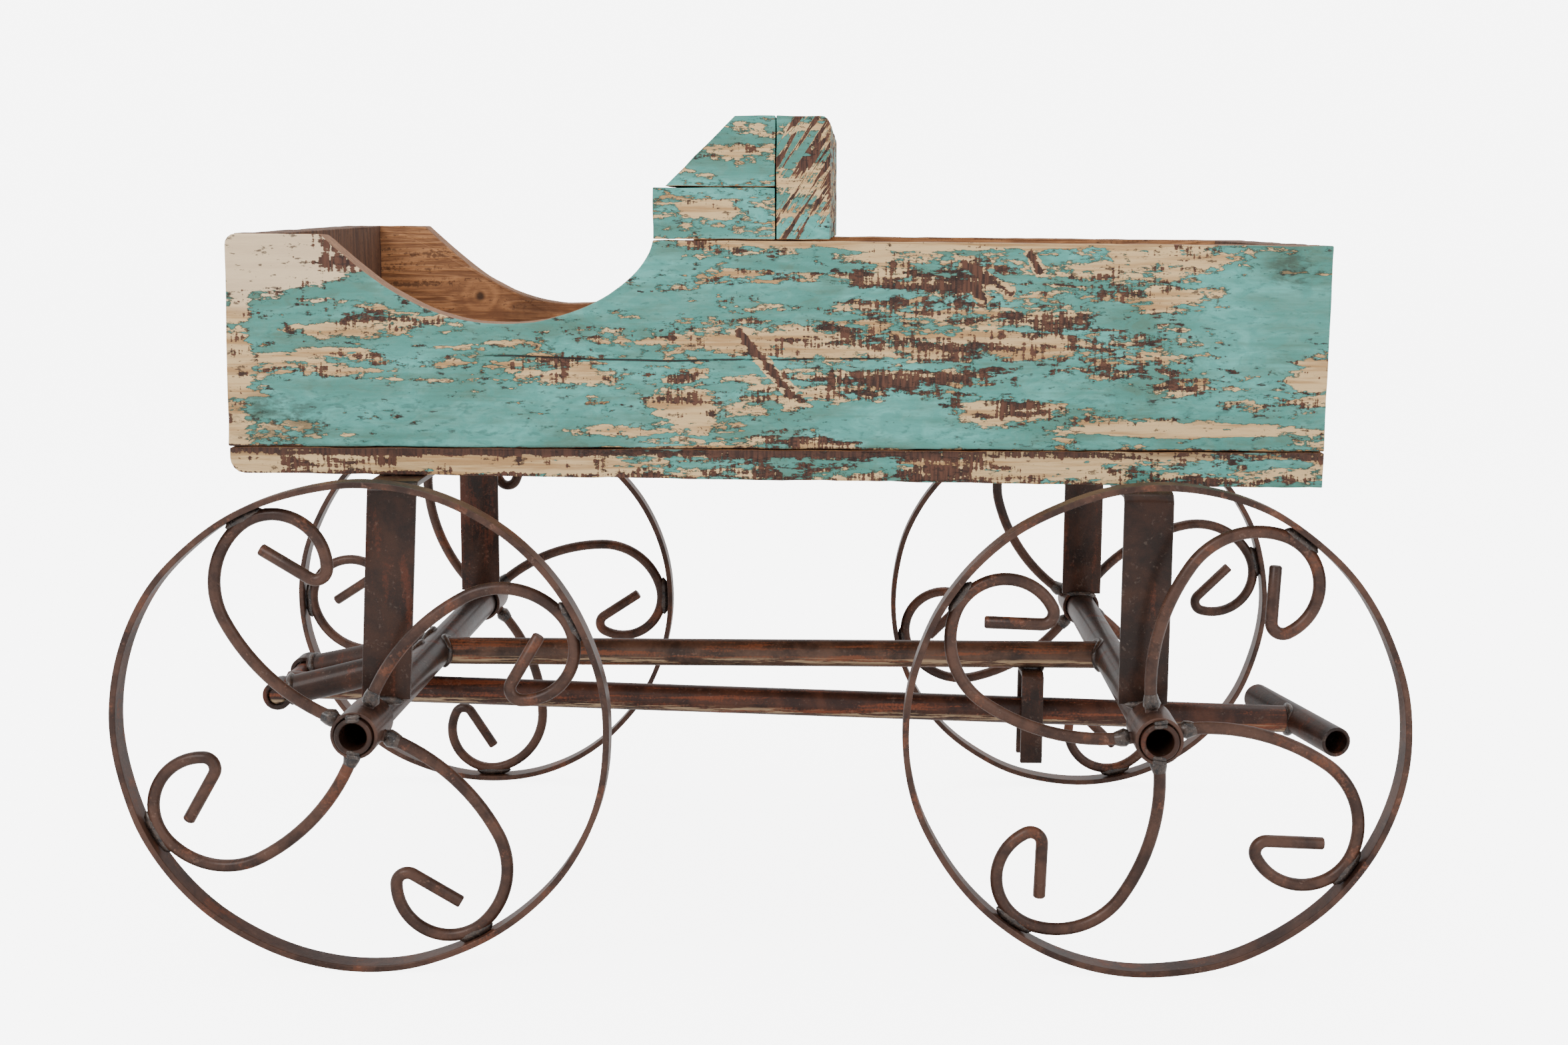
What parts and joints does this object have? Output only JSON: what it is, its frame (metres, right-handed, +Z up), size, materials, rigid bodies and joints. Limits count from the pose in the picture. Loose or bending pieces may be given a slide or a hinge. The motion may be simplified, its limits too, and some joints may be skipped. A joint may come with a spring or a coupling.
{
  "type": "ore cart planter",
  "caption": "Small hand-made ore cart planter: open painted wooden box on a welded steel frame with scroll-spoked wheels and a T-handled pull bar stowed underneath.",
  "frame": {"origin": "on the ground, midway between the axles and midway between the wheels", "axes": "+X towards the rear (the pull bar is hinged at the -X end), +Y towards the far side, +Z up"},
  "size_m": [0.6626, 0.3804, 0.4334],
  "materials": {
    "frame_steel": "clear-coated dark steel with weld marks",
    "wheel_steel": "clear-coated brown steel strip and rod",
    "bar_steel": "clear-coated rust-brown steel tube",
    "screw_steel": "zinc-plated screw",
    "painted_wood": "peeling turquoise paint over cream and bare wood",
    "bare_wood": "bare weathered softwood",
    "block_wood": "worn turquoise paint over saw-marked wood"
  },
  "bodies": {
    "chassis": {"axle_front": "frame_steel", "axle_rear": "frame_steel", "block_lower": "block_wood", "block_upper": "block_wood", "block_upright": "block_wood", "box_end_front": "bare_wood", "box_end_rear": "bare_wood", "box_floor": "painted_wood", "box_side_far": "painted_wood", "box_side_near": "painted_wood", "hitch_arm_far": "frame_steel", "hitch_arm_near": "frame_steel", "knuckle_far": "frame_steel", "knuckle_near": "frame_steel", "post_front_far": "frame_steel", "post_front_near": "frame_steel", "post_rear_far": "frame_steel", "post_rear_near": "frame_steel", "screw_front_far_1": "screw_steel", "screw_front_far_2": "screw_steel", "screw_front_near_1": "screw_steel", "screw_front_near_2": "screw_steel", "screw_rear_far_1": "screw_steel", "screw_rear_far_2": "screw_steel", "screw_rear_near_1": "screw_steel", "screw_rear_near_2": "screw_steel", "spine_tube": "frame_steel", "stirrup": "frame_steel"},
    "wheel_front_near": {"wheel_front_near_hub": "wheel_steel", "wheel_front_near_rim": "wheel_steel", "wheel_front_near_scroll_1": "wheel_steel", "wheel_front_near_scroll_2": "wheel_steel", "wheel_front_near_scroll_3": "wheel_steel", "wheel_front_near_scroll_4": "wheel_steel"},
    "wheel_front_far": {"wheel_front_far_hub": "wheel_steel", "wheel_front_far_rim": "wheel_steel", "wheel_front_far_scroll_1": "wheel_steel", "wheel_front_far_scroll_2": "wheel_steel", "wheel_front_far_scroll_3": "wheel_steel", "wheel_front_far_scroll_4": "wheel_steel"},
    "wheel_rear_near": {"wheel_rear_near_hub": "wheel_steel", "wheel_rear_near_rim": "wheel_steel", "wheel_rear_near_scroll_1": "wheel_steel", "wheel_rear_near_scroll_2": "wheel_steel", "wheel_rear_near_scroll_3": "wheel_steel", "wheel_rear_near_scroll_4": "wheel_steel"},
    "wheel_rear_far": {"wheel_rear_far_hub": "wheel_steel", "wheel_rear_far_rim": "wheel_steel", "wheel_rear_far_scroll_1": "wheel_steel", "wheel_rear_far_scroll_2": "wheel_steel", "wheel_rear_far_scroll_3": "wheel_steel", "wheel_rear_far_scroll_4": "wheel_steel"},
    "pull_bar": {"pull_bar": "bar_steel", "pull_bar_grip": "bar_steel", "pull_bar_pin": "bar_steel"}
  },
  "joints": [
    {"name": "wheel_front_near_spin", "type": "hinge", "parent": "chassis", "child": "wheel_front_near", "pos_m": [-0.20419, -0.1716, 0.127], "axis": [0.0244, 0.9997, 0], "continuous": true},
    {"name": "wheel_front_far_spin", "type": "hinge", "parent": "chassis", "child": "wheel_front_far", "pos_m": [-0.19581, 0.1716, 0.127], "axis": [0.0244, 0.9997, 0], "continuous": true},
    {"name": "wheel_rear_near_spin", "type": "hinge", "parent": "chassis", "child": "wheel_rear_near", "pos_m": [0.19581, -0.1716, 0.127], "axis": [0.0244, 0.9997, 0], "continuous": true},
    {"name": "wheel_rear_far_spin", "type": "hinge", "parent": "chassis", "child": "wheel_rear_far", "pos_m": [0.20419, 0.1716, 0.127], "axis": [0.0244, 0.9997, 0], "continuous": true},
    {"name": "pull_bar_swing", "type": "hinge", "parent": "chassis", "child": "pull_bar", "pos_m": [-0.288, 0.008, 0.1057], "axis": [0, 1, 0], "range_deg": [-1.5, 240]}
  ]
}
